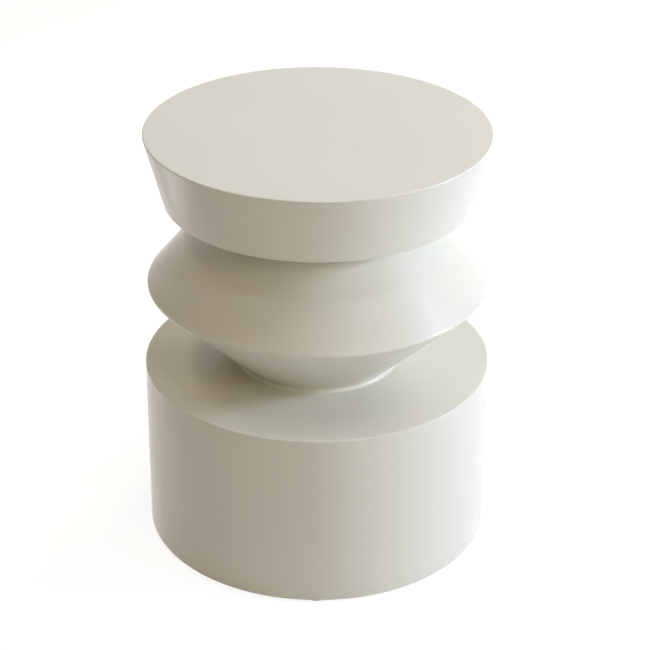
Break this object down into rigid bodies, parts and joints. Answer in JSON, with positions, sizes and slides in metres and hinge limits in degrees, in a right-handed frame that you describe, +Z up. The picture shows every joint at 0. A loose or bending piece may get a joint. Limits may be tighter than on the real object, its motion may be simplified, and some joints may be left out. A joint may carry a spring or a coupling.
{
  "type": "drum side table",
  "caption": "Round side table with a cylindrical drum foot, a waist of two cones meeting at a sharp rim, and a thick top that tapers inwards to its underside, in pale satin lacquer.",
  "frame": {"origin": "on the floor, at the middle of the foot", "axes": "+Z up along the table's axis; the table is round, and +X points at one of its four glides"},
  "size_m": [0.3689, 0.369, 0.457],
  "materials": {
    "lacquer": "pale greige satin lacquer over MDF",
    "mdf": "raw MDF, sealed",
    "beech": "plain beech",
    "zinc_steel": "bright zinc plate",
    "nylon": "natural white nylon"
  },
  "bodies": {
    "root": {"base_ring_1": "lacquer", "base_ring_2": "lacquer", "base_ring_3": "lacquer", "base_ring_4": "lacquer", "base_ring_5": "lacquer", "base_ring_6": "lacquer", "base_ring_7": "lacquer", "base_top_panel": "lacquer", "foot_panel": "mdf", "lower_neck_plate": "lacquer", "lower_cone_ring_1": "lacquer", "lower_cone_ring_2": "lacquer", "lower_cone_ring_3": "lacquer", "upper_cone_ring_1": "lacquer", "upper_cone_ring_2": "lacquer", "upper_cone_ring_3": "lacquer", "upper_neck_plate": "lacquer", "top_under_panel": "lacquer", "top_core_ring": "lacquer", "top_panel": "lacquer", "lower_neck_dowels": "beech", "upper_neck_dowels": "beech", "tie_rod": "zinc_steel", "tie_rod_nut": "zinc_steel", "tie_rod_washer": "zinc_steel", "tee_nut": "zinc_steel", "foot_panel_screws": "zinc_steel", "glide_screws": "zinc_steel", "floor_glides": "nylon"}
  },
  "joints": []
}
